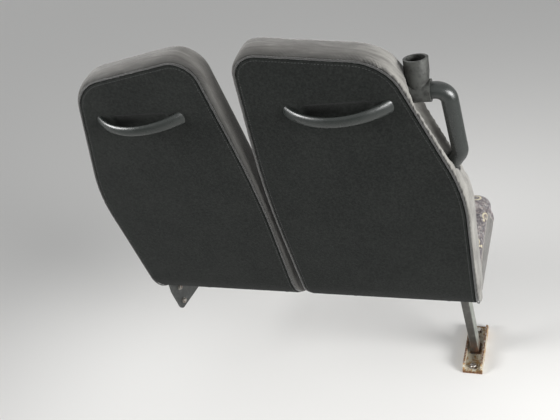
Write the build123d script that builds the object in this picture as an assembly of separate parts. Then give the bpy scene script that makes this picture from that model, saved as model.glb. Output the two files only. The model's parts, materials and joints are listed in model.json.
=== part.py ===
from build123d import *
import os
from math import cos, radians, sin

# Fixed double passenger seat of a city bus, in millimetres.
# The origin is the middle of the foot's two floor bolts, on the floor.
# +X points to the aisle, +Y is the way the passengers face, +Z is up.

# Backs
recline = 14
back_width = 448
back_gap = 3
aisle_overhang = 65
datum_y = -285
datum_rise = 50
back_top = 719
shoulder_drop = 46
outer_waist = 348
inner_waist = 350
back_bottom = -82
shell_wall = 12
toe_z = 360
toe_roll = 110
toe_gap = 4
rim_inset = 10
rim_rear = 2
rim_front = 64
rim_foot = 20
rim_round_rear = 8
rim_round_front = 20
pad_inset = 24
pad_thickness = 16
pad_bottom = 30
soft_clearance = 0.3

# Corners of one back seen from behind: outer side 1 or inner side -1, how far in from
# that side's edge, height up the recline, corner radius
back_corners = (
    (-1, 7, back_bottom, 30),
    (-1, 0, inner_waist, 2400),
    (-1, 37, back_top, 60),
    (1, 110, back_top - shoulder_drop, 110),
    (1, 0, outer_waist, 450),
    (1, 5, back_bottom, 30),
)

# Bow handle on the rear face of each back
bow_span = 218
bow_reach = 46
bow_thickness = 12
bow_height = 24
bow_end_height = 34
bow_end_thickness = 16
bow_bury = 14
bow_shift_aisle = 1
bow_shift_window = 13
bow_drop = 146
recess_length = 156
recess_height = 38
recess_depth = 6

# Cushion and pan
cushion_width = 432
cushion_front_y = 165
cushion_height = 78
cushion_corner = 48
cushion_round_top = 20
cushion_round_bottom = 6
cushion_rear_round = 20
pan_wall = 4
pan_rise = 8
pan_inset = 12
pan_rear_y = -148
rib_wall = 3
rib_pitch = 66

# Frame under the seats
tube_radius = 16
tube_wall = 2.5
tube_drop = 32
rear_tube_y = -150
front_tube_y = 85
tube_aisle_x = 32
tube_fit = 0.2
cap_depth = 14
cap_wall = 5
cap_round = 3
bracket_wall = 6
bracket_spread = 250
bracket_rise = 10
bracket_arch = 8
bracket_eye_wall = 7
bracket_front_y = 128
bracket_rear_y = -196

# Aisle leg
beam_wall = 10
beam_flange_width = 54
beam_flange_length = 60
beam_flange_wall = 6
beam_drop = 22
beam_rise = 30
leg_width = 22
leg_depth = 40
leg_wall = 3
leg_corner = 4
leg_top_y = -120
foot_length = 200
foot_width = 54
foot_wall = 5
foot_side_height = 26
foot_hole_radius = 5.5
foot_hole_spacing = 156
gusset_wall = 6
gusset_reach = 34
gusset_height = 74
gusset_edge = 8

# Wall bracket
wall_plate_x = -854
wall_plate_wall = 6
wall_plate_rise = 24
wall_plate_drop = 104
wall_plate_margin = 42
wall_socket_length = 16
wall_socket_wall = 6
wall_hole_radius = 4.5
wall_hole_y = 96
wall_hole_z = 50
wall_hole_middle_y = -105
wall_hole_drop = 58
wall_hole_margin = 20

# Corner grab handle on the aisle shoulder: each point is how far in from the aisle
# edge and how far down from the back's top
grab_radius = 16
grab_depth = 34
grab_start = (106, 139)
grab_corner = (20, 139)
grab_knee = (11, 287)
grab_end = (32, 318)
grab_bend = 24
grab_knee_bend = 26
grab_bury = 14
flange_radius = 21.5
flange_wall = 9
flange_round = 5
boss_radius = 21
boss_wall = 12
scoop_radius = 27
scoop_top = (-4, 150)
scoop_low = (-14, 280)
grab_clearance = 0.3

# Stanchion socket clamped on the corner handle
stanchion_bore = 17.8
socket_wall = 5
socket_inward = 72
socket_rise = 63
socket_bore_depth = 26
socket_sleeve_wall = 5
socket_sleeve_length = 46
socket_fit = 0.2

tilt_sin = sin(radians(recline))
tilt_cos = cos(radians(recline))
forward = Vector(0, tilt_cos, tilt_sin)
datum_z = toe_z + datum_rise
back_plane = Plane((0, datum_y, datum_z), x_dir=(1, 0, 0), z_dir=(0, -tilt_cos, -tilt_sin))
seat_pitch = back_width + back_gap
aisle_middle = aisle_overhang - back_width / 2
window_middle = aisle_middle - seat_pitch
seats = (("aisle", aisle_middle, 1), ("window", window_middle, -1))
toe_front_y = pan_rear_y - toe_gap
rim_bottom_z = toe_z + rim_foot
pan_floor_z = toe_z + pan_rise
pan_top_z = pan_floor_z + pan_wall
cushion_bottom_z = pan_top_z + soft_clearance
cushion_top_z = cushion_bottom_z + cushion_height
tube_z = toe_z - tube_drop
bracket_web_z = tube_z + bracket_rise
tube_eye = tube_radius + tube_fit + bracket_eye_wall
beam_bottom_z = tube_z - beam_drop
bow_up = back_top - bow_drop
socket_x = aisle_overhang - socket_inward
far = 2 * back_width
reach_up = back_top + shoulder_drop


def back_point(up, ahead):
    """Height and depth on the side view: up the recline, then ahead of the rear face."""
    return (datum_y - up * tilt_sin + ahead * tilt_cos, datum_z + up * tilt_cos + ahead * tilt_sin)


def in_back(across, up, ahead):
    """A point given in the back's own directions, in the part's frame."""
    y, z = back_point(up, ahead)
    return Vector(across, y, z)


def back_outline(middle, side, inset=0, bottom=None):
    """One back's outline in the back plane."""
    points = []
    for outer, inward, up, _ in back_corners:
        across = middle + side * outer * (back_width / 2 - inward)
        points.append((across, up if bottom is None else max(up, bottom)))
    radii = [corner[3] for corner in back_corners]
    face = make_face(FilletPolyline(*points, radius=radii, close=True))
    return offset(face, amount=-inset, kind=Kind.ARC) if inset else face


def back_prism(middle, side, near, end, inset=0, bottom=None):
    """The outline as a slab, from near to end ahead of the rear face."""
    face = back_plane * Pos(0, 0, -near) * back_outline(middle, side, inset, bottom)
    return extrude(face, amount=end - near, dir=forward)


def side_slab(face, middle, width):
    """A profile drawn on the side view as (Y, Z), given a width along X."""
    plane = Plane((middle - width / 2, 0, 0), x_dir=(0, 1, 0), z_dir=(1, 0, 0))
    return extrude(plane * face, amount=width, dir=(1, 0, 0))


def toe_edge(ahead):
    """Side view line at a depth ahead of the rear face: down the back, then forward."""
    rise = (toe_z + ahead - datum_z - ahead * tilt_sin) / tilt_cos
    points = (back_point(reach_up, ahead), back_point(rise, ahead), (toe_front_y, toe_z + ahead))
    return FilletPolyline(*points, radius=toe_roll - ahead)


def toe_band(near, end):
    """Side view band between two depths, rolled forward at the toe."""
    outer = toe_edge(near)
    inner = toe_edge(end)
    return make_face([outer, Line(outer @ 1, inner @ 1), inner, Line(inner @ 0, outer @ 0)])


def box_between(low, high):
    """Box from its lowest to its highest corner."""
    middle = [(a + b) / 2 for a, b in zip(low, high)]
    return Pos(*middle) * Box(*[b - a for a, b in zip(low, high)])


def across_rod(radius, y, z, start, end):
    """Round bar along X."""
    return Pos((start + end) / 2, y, z) * Rot(0, 90, 0) * Cylinder(radius, end - start)


def bow_middle(middle, side):
    """Both bow handles sit towards the aisle, the window one further."""
    return middle + (bow_shift_aisle if side > 0 else bow_shift_window)


def handle_recess(middle, side):
    """Shallow dish in the panel behind the bow handle."""
    plane = back_plane * Pos(bow_middle(middle, side), bow_up, 0)
    dish = SlotOverall(recess_length, recess_height)
    return extrude(plane * dish, amount=recess_depth, dir=forward, taper=35)


def back_shell(middle, side):
    """Moulded rear panel with its toe rolled forward."""
    sheet = side_slab(toe_band(0, shell_wall), middle, back_width)
    shell = sheet & back_prism(middle, side, -shell_wall, 2 * toe_roll, inset=rim_inset)
    return shell - handle_recess(middle, side)


def from_shoulder(place):
    """A point in from the aisle edge and down from the back's top, at the handle's depth."""
    inward, drop = place
    return in_back(aisle_overhang - inward, back_top - drop, grab_depth)


def grab_path():
    """Centre line of the corner handle, out of the shoulder and back into the side."""
    run = Vector(grab_end[0] - grab_knee[0], grab_end[1] - grab_knee[1]).normalized()
    inside = (grab_end[0] + run.X * grab_bury, grab_end[1] + run.Y * grab_bury)
    points = [from_shoulder(place) for place in (grab_start, grab_corner, grab_knee, inside)]
    return FilletPolyline(*points, radius=[grab_bend, grab_knee_bend])


def grab_disc(radius, length, at_start, clearance=0):
    """Round flange or boss on one end of the corner handle."""
    path = grab_path()
    where = path @ 0 if at_start else path @ 1
    along = path % 0 if at_start else (path % 1) * -1
    plane = Plane(where, z_dir=along)
    return extrude(plane * Circle(radius + clearance), amount=length + clearance, dir=along)


def corner_handle():
    path = grab_path()
    section = Plane(path @ 0, z_dir=path % 0) * Circle(grab_radius)
    return sweep(section, path=path)


def handle_flange():
    """Collar where the corner handle leaves the shoulder."""
    collar = grab_disc(flange_radius, flange_wall, True)
    rim = collar.edges().filter_by(GeomType.CIRCLE).sort_by(Axis.X)[-1]
    collar = fillet(rim, flange_round)
    return collar - grab_disc(grab_radius + grab_clearance, flange_wall * 2, True)


def handle_boss():
    """Cup where the corner handle goes back into the side."""
    return grab_disc(boss_radius, boss_wall, False) - grab_disc(
        grab_radius + grab_clearance, boss_wall * 2, False
    )


def outer_edge(up):
    """How far in from the aisle edge the back's straight outer side is at a height."""
    (_, top_inward, top_up, _), (_, low_inward, low_up, _) = back_corners[3:5]
    share = (top_up - up) / (top_up - low_up)
    return top_inward + share * (low_inward - top_inward)


def shoulder_scoop():
    """Hollow in the foam behind the corner handle."""
    ends = []
    for outward, drop in (scoop_top, scoop_low):
        ends.append(from_shoulder((outer_edge(back_top - drop) + outward, drop)))
    top, low = ends
    run = low - top
    rod = Plane(top, z_dir=run) * Cylinder(
        scoop_radius, run.length, align=(Align.CENTER, Align.CENTER, Align.MIN)
    )
    return rod + Pos(*top) * Sphere(scoop_radius) + Pos(*low) * Sphere(scoop_radius)


def socket_relief():
    """Room in the foam for the flange, the sleeve and the cup."""
    axis = from_shoulder((socket_inward, grab_start[1]))
    around = flange_radius + grab_clearance
    rod = across_rod(around, axis.Y, axis.Z, from_shoulder(grab_start).X, far)
    cup_radius = stanchion_bore + socket_wall + grab_clearance
    cup = Pos(socket_x, axis.Y, axis.Z + reach_up / 2) * Cylinder(cup_radius, reach_up)
    return rod + cup


def back_rim(middle, side):
    """Foam body of the back with the plush gusset round its edge."""
    body = back_prism(middle, side, rim_rear, rim_front)
    faces = body.faces().sort_by(Axis(back_plane.origin, tuple(forward)))
    body = fillet(faces[0].edges(), rim_round_rear)
    faces = body.faces().filter_by(Plane((0, 0, 0), z_dir=tuple(forward)))
    front = faces.sort_by(Axis(back_plane.origin, tuple(forward)))[-1]
    body = fillet(front.edges(), rim_round_front)
    body = body & side_slab(toe_band(rim_rear, toe_roll - 10), middle, back_width)
    pocket = side_slab(toe_band(-1, shell_wall + soft_clearance), middle, back_width)
    inset = rim_inset - soft_clearance
    pocket = pocket & back_prism(middle, side, -shell_wall, 2 * toe_roll, inset=inset)
    body = body - pocket
    low = box_between((middle - far, -far, 0), (middle + far, far, rim_bottom_z))
    body = body - low
    if side > 0:
        body = body - shoulder_scoop()
        body = body - socket_relief()
        body = body - grab_disc(boss_radius, boss_wall, False, grab_clearance)
        body = body - grab_disc(grab_radius + grab_clearance, scoop_radius * 2, False)
    return body


def back_pad(middle, side):
    """Patterned front pad."""
    near = rim_front + soft_clearance
    bottom = pad_bottom - pad_inset
    pad = back_prism(middle, side, near, near + pad_thickness, inset=pad_inset, bottom=bottom)
    front = pad.faces().sort_by(Axis(back_plane.origin, tuple(forward)))[-1]
    return fillet(front.edges(), pad_thickness / 2)


def bow_handle(middle, side):
    """Crescent grab handle of oval section, thicker and taller where it meets the panel."""
    middle_x = bow_middle(middle, side)
    rise = bow_reach - bow_thickness / 2
    half = bow_span / 2 - bow_end_thickness * 0.6
    radius = (half**2 + rise**2) / (2 * rise)
    end = (radius**2 - (radius - rise - bow_bury) ** 2) ** 0.5
    path = ThreePointArc(
        in_back(middle_x - end, bow_up, bow_bury),
        in_back(middle_x, bow_up, -rise),
        in_back(middle_x + end, bow_up, bow_bury),
    )
    up = (0, -tilt_sin, tilt_cos)
    sections = []
    for place in (0, 0.2, 0.5, 0.8, 1):
        flare = abs(2 * place - 1) ** 3
        height = bow_height + flare * (bow_end_height - bow_height)
        thickness = bow_thickness + flare * (bow_end_thickness - bow_thickness)
        across = Plane(path @ place, x_dir=up, z_dir=path % place)
        sections.append(across * Ellipse(height / 2, thickness / 2))
    bar = sweep(sections, path=path, multisection=True)
    behind = back_plane * Pos(middle_x, bow_up, 0) * Rectangle(2 * bow_span, 3 * bow_end_height)
    return bar & extrude(behind, amount=2 * bow_reach, dir=forward * -1)


def pan_plan(grow, rear):
    """Plan outline of cushion or pan, open to the rear."""
    half = cushion_width / 2 + grow
    front = cushion_front_y + grow
    corner = cushion_corner + grow
    points = ((-half, rear), (half, rear), (half, front), (-half, front))
    return make_face(FilletPolyline(*points, radius=[0, 0, corner, corner], close=True))


def pan_slab(middle, grow, rear, low, high):
    return extrude(Pos(middle, 0, low) * pan_plan(grow, rear), amount=high - low)


def seat_pan(middle, side):
    """Moulded plate under the cushion, with a skirt round its edge and ribs below."""
    pan = pan_slab(middle, -pan_inset, pan_rear_y, toe_z, pan_top_z)
    inside = -pan_inset - pan_wall
    hollow = pan_slab(middle, inside, pan_rear_y + pan_wall, toe_z - 1, pan_floor_z)
    ribs = None
    half_width = cushion_width / 2
    count = int(half_width // rib_pitch)
    for step in range(-count, count + 1):
        x = middle + step * rib_pitch
        rib = box_between((x - rib_wall / 2, -far, toe_z), (x + rib_wall / 2, far, pan_floor_z))
        ribs = rib if ribs is None else ribs + rib
    for y in (pan_rear_y + 2 * rib_pitch, pan_rear_y + 3.5 * rib_pitch):
        low = (middle - far, y - rib_wall / 2, toe_z)
        ribs = ribs + box_between(low, (middle + far, y + rib_wall / 2, pan_floor_z))
    return pan - (hollow - ribs)


def cushion(middle, side):
    """Seat cushion, its rear face parallel to the back."""
    body = pan_slab(middle, 0, datum_y, cushion_bottom_z, cushion_top_z)
    edges = body.faces().sort_by(Axis.Z)[-1].edges().sort_by(Axis.Y)[1:]
    body = fillet(edges, cushion_round_top)
    edges = body.faces().sort_by(Axis.Z)[0].edges().sort_by(Axis.Y)[1:]
    body = fillet(edges, cushion_round_bottom)
    ahead = rim_front + 2 * soft_clearance
    rise = (cushion_bottom_z - datum_z - ahead * tilt_sin) / tilt_cos
    top_y, top_z = back_point(reach_up, ahead)
    low_y, low_z = back_point(rise, ahead)
    points = ((top_y, top_z), (low_y, low_z), (far, low_z), (far, top_z))
    keep = make_face(FilletPolyline(*points, radius=[0, cushion_rear_round, 0, 0], close=True))
    return body & side_slab(keep, middle, back_width)


def half_view(z, sign):
    """The side view above a height, sign 1, or below it, sign -1."""
    return Pos(0, z + sign * far / 2) * Rectangle(2 * far, far)


def round_the_tubes(profile, low, high):
    """The profile with an eye round each cross tube, cut level below and above."""
    for y in (rear_tube_y, front_tube_y):
        profile = profile + Pos(y, tube_z) * Circle(tube_eye)
    profile = profile & half_view(low, 1) & half_view(high, -1)
    for y in (rear_tube_y, front_tube_y):
        profile = profile - Pos(y, tube_z) * Circle(tube_radius + tube_fit)
    return profile


def seat_bracket(x):
    """Pressed bracket: an eye round each cross tube and a straight top edge."""
    web = Polyline(
        (bracket_rear_y, toe_z),
        (bracket_rear_y, bracket_web_z + bracket_arch),
        (rear_tube_y, bracket_web_z - bracket_arch),
        (front_tube_y, bracket_web_z - bracket_arch),
        (bracket_front_y, bracket_web_z + bracket_arch),
        (bracket_front_y, toe_z),
        close=True,
    )
    profile = round_the_tubes(make_face(web), tube_z - tube_eye, toe_z)
    return side_slab(profile, x, bracket_wall)


def cross_tube(y):
    start = wall_plate_x + wall_plate_wall
    tube = across_rod(tube_radius, y, tube_z, start, tube_aisle_x)
    return tube - across_rod(tube_radius - tube_wall, y, tube_z, start, tube_aisle_x)


def tube_caps():
    """Plastic plug in the aisle end of each cross tube."""
    caps = []
    for y in (rear_tube_y, front_tube_y):
        inside = tube_radius - tube_wall - tube_fit
        shank = across_rod(inside, y, tube_z, tube_aisle_x - cap_depth, tube_aisle_x)
        head = across_rod(tube_radius, y, tube_z, tube_aisle_x, tube_aisle_x + cap_wall)
        head = fillet(head.edges().sort_by(Axis.X)[-1], cap_round)
        caps.append(shank + head)
    return Compound(caps)


def leg_beam():
    """Plate between the cross tubes with a flange for the leg."""
    low = beam_bottom_z + beam_flange_wall
    high = tube_z + beam_rise
    half = beam_flange_length / 2
    web = Polyline(
        (rear_tube_y - tube_eye, tube_z),
        (leg_top_y - half, low),
        (leg_top_y + half, low),
        (front_tube_y + tube_eye, tube_z),
        (front_tube_y + tube_eye, high),
        (rear_tube_y - tube_eye, high),
        close=True,
    )
    profile = round_the_tubes(make_face(web), low, high)
    beam = side_slab(profile, 0, beam_wall)
    flange = box_between(
        (-beam_flange_width / 2, leg_top_y - half, beam_bottom_z),
        (beam_flange_width / 2, leg_top_y + half, low),
    )
    return beam + flange


def leg_strut():
    """Raked rectangular tube, cut level at the foot and under the beam."""
    run = Vector(0, leg_top_y, beam_bottom_z - foot_wall)
    base = Vector(0, 0, foot_wall)
    over = 2 * leg_depth
    plane = Plane(base - run.normalized() * over, x_dir=(1, 0, 0), z_dir=tuple(run))
    outer = plane * RectangleRounded(leg_width, leg_depth, leg_corner)
    inner = plane * Rectangle(leg_width - 2 * leg_wall, leg_depth - 2 * leg_wall)
    tube = extrude(outer, amount=run.length + 2 * over) - extrude(inner, amount=run.length + 2 * over)
    level = box_between((-far, -far, foot_wall), (far, far, beam_bottom_z))
    return tube & level


def leg_gusset():
    """Small web between the front of the leg and the foot."""
    lean = -leg_top_y / (beam_bottom_z - foot_wall)
    front = leg_depth / 2 * (1 + lean**2) ** 0.5
    top_y = front - gusset_height * lean
    face = make_face(
        Polyline(
            (front, foot_wall),
            (front + gusset_reach, foot_wall),
            (front + gusset_reach, foot_wall + gusset_edge),
            (top_y + gusset_edge, foot_wall + gusset_height),
            (top_y, foot_wall + gusset_height),
            close=True,
        )
    )
    return side_slab(face, 0, gusset_wall)


def foot_shoe():
    """Channel that bolts to the floor, its sides turned up."""
    half = foot_length / 2
    shoe = box_between((-foot_width / 2, -half, 0), (foot_width / 2, half, foot_side_height))
    inner = foot_width / 2 - foot_wall
    shoe = shoe - box_between((-inner, -half - 1, foot_wall), (inner, half + 1, foot_side_height + 1))
    corners = shoe.edges().filter_by(Axis.X).sort_by(Axis.Z)[-4:]
    shoe = chamfer(corners, foot_side_height * 0.6, foot_side_height * 0.6)
    for y in (-foot_hole_spacing / 2, foot_hole_spacing / 2):
        shoe = shoe - Pos(0, y, foot_wall / 2) * Cylinder(foot_hole_radius, foot_wall * 3)
    return shoe


def wall_bracket():
    """Plate against the side wall with a socket for each cross tube."""
    rear = rear_tube_y - wall_plate_margin
    front = front_tube_y + wall_plate_margin
    half = wall_hole_y / 2 + wall_hole_margin
    top = tube_z + wall_plate_rise
    bottom = tube_z - wall_plate_drop
    outline = FilletPolyline(
        (rear, top),
        (rear, tube_z - wall_plate_rise),
        (wall_hole_middle_y - half, bottom),
        (wall_hole_middle_y + half, bottom),
        (front, tube_z - wall_plate_rise),
        (front, top),
        radius=[14, 40, 18, 18, 30, 14],
        close=True,
    )
    thick = wall_plate_wall
    plate = side_slab(make_face(outline), wall_plate_x + thick / 2, thick)
    start = wall_plate_x + thick
    for y in (rear_tube_y, front_tube_y):
        ring = tube_radius + tube_fit + wall_socket_wall
        socket = across_rod(ring, y, tube_z, start, start + wall_socket_length)
        bore = across_rod(tube_radius + tube_fit, y, tube_z, start, start + wall_socket_length)
        plate = plate + (socket - bore)
    for y in (-wall_hole_y / 2, wall_hole_y / 2):
        for z in (-wall_hole_z / 2, wall_hole_z / 2):
            where = (wall_hole_middle_y + y, tube_z - wall_hole_drop + z)
            plate = plate - across_rod(wall_hole_radius, *where, wall_plate_x - thick, start + thick)
    return plate


def pole_socket():
    """Cast cup for a stanchion, standing on a sleeve round the corner handle."""
    middle = from_shoulder((socket_inward, grab_start[1]))
    mouth_z = middle.Z + socket_rise
    sleeve_radius = grab_radius + socket_fit + socket_sleeve_wall
    half = socket_sleeve_length / 2
    sleeve = across_rod(sleeve_radius, middle.Y, middle.Z, socket_x - half, socket_x + half)
    cup_radius = stanchion_bore + socket_wall
    cone_height = socket_rise - socket_bore_depth
    cone = Pos(socket_x, middle.Y, middle.Z + cone_height / 2) * Cone(
        sleeve_radius * 0.86, cup_radius, cone_height
    )
    cup_z = mouth_z - socket_bore_depth / 2
    cup = Pos(socket_x, middle.Y, cup_z) * Cylinder(cup_radius, socket_bore_depth)
    body = sleeve + cone + cup
    bore = grab_radius + socket_fit
    body = body - across_rod(bore, middle.Y, middle.Z, socket_x - far, socket_x + far)
    pole = Pos(socket_x, middle.Y, mouth_z) * Cylinder(stanchion_bore, 2 * socket_bore_depth)
    return body - pole


def whole_seat():
    """Every piece by its node's name."""
    pieces = {}
    makers = (back_shell, back_rim, back_pad, bow_handle, seat_pan, cushion)
    for name, middle, side in seats:
        for make in makers:
            pieces[make.__name__ + "_" + name] = make(middle, side)
        for place, sign in (("outer", side), ("inner", -side)):
            x = middle + sign * bracket_spread / 2
            pieces["bracket_" + place + "_" + name] = seat_bracket(x)
    pieces["rear_tube"] = cross_tube(rear_tube_y)
    pieces["front_tube"] = cross_tube(front_tube_y)
    for make in (tube_caps, leg_beam, leg_strut, leg_gusset, foot_shoe, wall_bracket):
        pieces[make.__name__] = make()
    for make in (corner_handle, handle_flange, handle_boss, pole_socket):
        pieces[make.__name__] = make()
    return pieces


os.makedirs("parts", exist_ok=True)
for node, solid in whole_seat().items():
    export_step(solid, "parts/" + node + ".step")
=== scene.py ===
import json
import math

import bpy
import bmesh
import numpy as np
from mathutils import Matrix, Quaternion, Vector
from mathutils.bvhtree import BVHTree


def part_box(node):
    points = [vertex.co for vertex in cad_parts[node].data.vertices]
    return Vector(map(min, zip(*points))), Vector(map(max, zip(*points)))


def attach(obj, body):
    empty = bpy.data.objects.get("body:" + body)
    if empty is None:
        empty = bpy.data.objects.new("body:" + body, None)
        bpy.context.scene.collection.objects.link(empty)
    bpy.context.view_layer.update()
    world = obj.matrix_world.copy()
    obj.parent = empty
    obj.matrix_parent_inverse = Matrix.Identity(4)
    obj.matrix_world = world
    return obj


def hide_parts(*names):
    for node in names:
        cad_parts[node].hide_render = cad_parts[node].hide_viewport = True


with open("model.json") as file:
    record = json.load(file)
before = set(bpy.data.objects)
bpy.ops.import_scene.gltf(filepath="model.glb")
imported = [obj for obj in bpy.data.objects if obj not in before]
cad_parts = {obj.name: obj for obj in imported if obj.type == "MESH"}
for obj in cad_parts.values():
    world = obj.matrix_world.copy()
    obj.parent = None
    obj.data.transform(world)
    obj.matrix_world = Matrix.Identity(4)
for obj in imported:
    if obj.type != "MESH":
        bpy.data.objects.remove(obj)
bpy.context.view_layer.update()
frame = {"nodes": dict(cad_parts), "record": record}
nodes = frame["nodes"]
mounts = {mount["name"]: mount for mount in frame["record"]["mounts"]}
scene = bpy.context.scene
print("frame loaded,", len(nodes), "nodes")

# Directions of the reclined backs
recline = math.radians(14)
datum = np.array((0.0, -0.285, 0.410))
upward = np.array((0.0, -math.sin(recline), math.cos(recline)))
forward = np.array((0.0, math.cos(recline), math.sin(recline)))

cameraView = {
    "eye": (0.244, -1.575, 1.45),
    "aim": (-0.407, -0.25, 0.635),
    "lean": 12.9,  # upright edges lean this much, as they do left of the middle of a wide picture
    "lens": 44.0,
}


def newObject(name, data):
    made = bpy.data.objects.new(name, data)
    scene.collection.objects.link(made)
    return made


def aimAt(obj, place, aim, lean=0.0):
    obj.location = place
    obj.rotation_mode = "QUATERNION"
    look = (Vector(aim) - Vector(place)).to_track_quat("-Z", "Y")
    obj.rotation_quaternion = look @ Quaternion((0, 0, 1), math.radians(-lean))


def makeCamera():
    data = bpy.data.cameras.new("seatCamera")
    data.lens = cameraView["lens"]
    data.clip_start, data.clip_end = 0.05, 120
    camera = newObject("seatCamera", data)
    aimAt(camera, cameraView["eye"], cameraView["aim"], cameraView["lean"])
    scene.camera = camera


# Short ways to build a shader tree
def isSocket(value):
    return isinstance(value, bpy.types.NodeSocket)


def addNode(kind, links, tree=None, **settings):
    # the tree is that of the sockets in links, where there are some
    if tree is None:
        tree = next(value.id_data for value in links.values() if isSocket(value))
    made = tree.nodes.new(kind)
    for name, value in settings.items():
        setattr(made, name, value)
    for key, value in links.items():
        if isSocket(value):
            tree.links.new(value, made.inputs[key])
        else:
            made.inputs[key].default_value = value
    return made


def outOf(kind, links, tree=None, **settings):
    return addNode(kind, links, tree, **settings).outputs[0]


def maths(operation, a, b=0.0, c=0.0):
    return outOf("ShaderNodeMath", {0: a, 1: b, 2: c}, operation=operation)


def times(a, b):
    return maths("MULTIPLY", a, b)


def timesPlus(a, b, c):
    return maths("MULTIPLY_ADD", a, b, c)


def less(a, b):
    return maths("SUBTRACT", a, b)


def larger(a, b):
    return maths("MAXIMUM", a, b)


def vectorMaths(operation, a, b=(0, 0, 0)):
    made = addNode("ShaderNodeVectorMath", {0: a, 1: b}, operation=operation)
    return made.outputs["Value" if operation == "LENGTH" else "Vector"]


def stretch(vector, scale=(1, 1, 1), turn=(0, 0, 0)):
    links = {"Vector": vector, "Scale": scale, "Rotation": turn}
    return outOf("ShaderNodeMapping", links)


def noise(vector, scale, detail=2.0, roughness=0.5, twist=0.0, colour=False):
    links = {"Vector": vector, "Scale": scale, "Detail": detail, "Roughness": roughness, "Distortion": twist}
    return addNode("ShaderNodeTexNoise", links).outputs[1 if colour else 0]


def fade(value, low, high, start=0.0, end=1.0):
    links = {"Value": value, "From Min": low, "From Max": high, "To Min": start, "To Max": end}
    return outOf("ShaderNodeMapRange", links, interpolation_type="SMOOTHSTEP")


def patches(vector, grain, low, high, start=0.0, end=1.0):
    # grain holds the noise's scale, detail, roughness and twist
    return fade(noise(vector, *grain), low, high, start, end)


def mix(share, a, b):
    return addNode("ShaderNodeMix", {0: share, 6: a, 7: b}, data_type="RGBA").outputs[2]


def bump(height, distance, strength=1.0, under=None):
    links = {"Height": height, "Distance": distance, "Strength": strength}
    if under is not None:
        links["Normal"] = under
    return outOf("ShaderNodeBump", links)


def startMaterial(name, **finish):
    # each word of finish names an input of the shader
    material = bpy.data.materials.new(name)
    material.use_nodes = True
    tree = material.node_tree
    tree.nodes.clear()
    shader = addNode("ShaderNodeBsdfPrincipled", {}, tree)
    addNode("ShaderNodeOutputMaterial", {0: shader.outputs[0]})
    for word, value in finish.items():
        key = "".join(" " + c if c.isupper() else c for c in word).title()
        shader.inputs["Specular IOR Level" if word == "specular" else key].default_value = value
    return material, tree, shader


def objectPlace(tree):
    return addNode("ShaderNodeTexCoord", {}, tree).outputs["Object"]


def clothPlace(tree):
    return outOf("ShaderNodeUVMap", {}, tree, uv_map="cloth")


def painted(tree, name):
    return addNode("ShaderNodeAttribute", {}, tree, attribute_name=name).outputs["Fac"]


def parts(vector):
    return addNode("ShaderNodeSeparateXYZ", {0: vector}).outputs


def worldFacing(tree):
    return parts(addNode("ShaderNodeNewGeometry", {}, tree).outputs["Normal"])


def wire(material, shader, colour, relief, roughness=None):
    for label, value in (("Base Color", colour), ("Normal", relief), ("Roughness", roughness)):
        if value is not None:
            material.node_tree.links.new(value, shader.inputs[label])
    return material


def grey(tone):
    return (tone, tone, tone, 1)


felt = {
    "ground": (0.0100, 0.0112, 0.0104, 1),
    "pale": (0.0232, 0.0251, 0.0232, 1),
    "fleck": (0.063, 0.067, 0.062, 1),
    "paintedShade": (0.0028, 0.0029, 0.0026, 1),
    "fibreSize": 1400.0,
    "mottleSize": 210.0,
}


def feltMaterial():
    skin = {"roughness": 0.96, "sheenWeight": 0.04, "sheenRoughness": 0.5, "specular": 0.03}
    material, tree, shader = startMaterial("backFelt", **skin)
    place = objectPlace(tree)
    cloud = patches(place, (9.0, 4, 0.6), 0.35, 0.68)
    mottle = fade(noise(place, felt["mottleSize"], 4, 0.65, 0.6), 0.36, 0.66)
    mottle = timesPlus(mottle, 0.72, times(cloud, 0.22))
    tone = mix(mottle, felt["ground"], felt["pale"])
    fibres = noise(place, felt["fibreSize"], 2, 0.6, 2.0)
    lint = patches(place, (420.0, 3, 0.7, 1.4), 0.66, 0.74)
    tone = mix(times(lint, 0.55), tone, felt["fleck"])
    tone = mix(fade(fibres, 0.35, 0.7, 0.0, 0.35), tone, felt["ground"])
    # painted shade in the recess behind the bow handle
    tone = mix(times(painted(tree, "recessShade"), 0.85), tone, felt["paintedShade"])
    rough = bump(noise(place, 95.0, 4, 0.6), 0.0012, 0.5)
    return wire(material, shader, tone, bump(fibres, 0.0007, 0.8, rough))


plush = {
    "deep": (0.103, 0.098, 0.092, 1),
    "body": (0.146, 0.141, 0.132, 1),
    "bright": (0.210, 0.203, 0.190, 1),
    "worn": (0.30, 0.292, 0.268, 1),
    "paintedShade": (0.034, 0.034, 0.032, 1),
    "sheen": (0.96, 0.95, 0.93, 1),
    "puckerPitch": 0.0075,
}


def plushLook(place, flat, streaks, clouds):
    # the nap lies in long streaks, so the scales differ along and across the cloth
    streak = noise(stretch(flat, streaks), 1.0, 5, 0.62, 0.35)
    patch = noise(stretch(flat, clouds), 1.0, 3, 0.55, 0.8)
    fine = noise(place, 1500.0, 2, 0.6)
    nap = timesPlus(streak, 0.55, times(patch, 0.45))
    tone = mix(fade(nap, 0.38, 0.54), plush["deep"], plush["body"])
    tone = mix(fade(nap, 0.53, 0.68), tone, plush["bright"])
    tone = mix(fade(fine, 0.3, 0.7, 0.0, 0.3), tone, plush["deep"])
    return tone, nap, fine


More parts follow.
